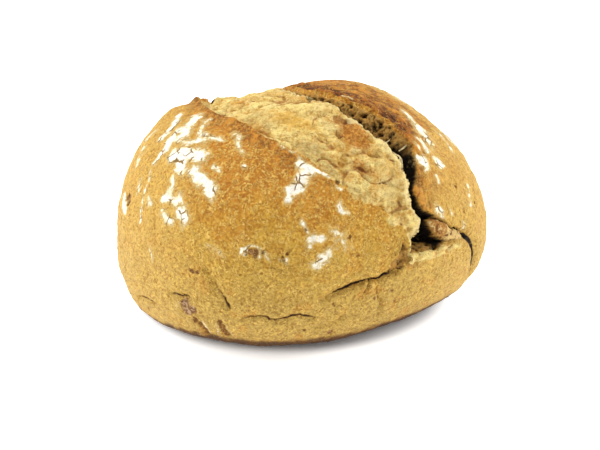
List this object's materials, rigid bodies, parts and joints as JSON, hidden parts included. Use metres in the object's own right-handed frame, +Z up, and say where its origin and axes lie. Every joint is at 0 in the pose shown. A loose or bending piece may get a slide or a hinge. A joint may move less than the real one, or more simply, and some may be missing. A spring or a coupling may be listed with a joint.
{
  "type": "rye sourdough loaf",
  "caption": "Whole uncut round rye sourdough loaf with a burst, cracked crust and a flat base to rest on.",
  "frame": {"origin": "middle of the loaf's bounding box at its flat base", "axes": "+X along the loaf's longest side, to the right of someone facing its shown side; +Y away from the shown side; +Z up, the shortest side"},
  "size_m": [0.2002, 0.1676, 0.1155],
  "materials": {
    "crust": "matte baked crust dusted with flour"
  },
  "bodies": {
    "root": {"loaf": "crust"}
  },
  "joints": []
}
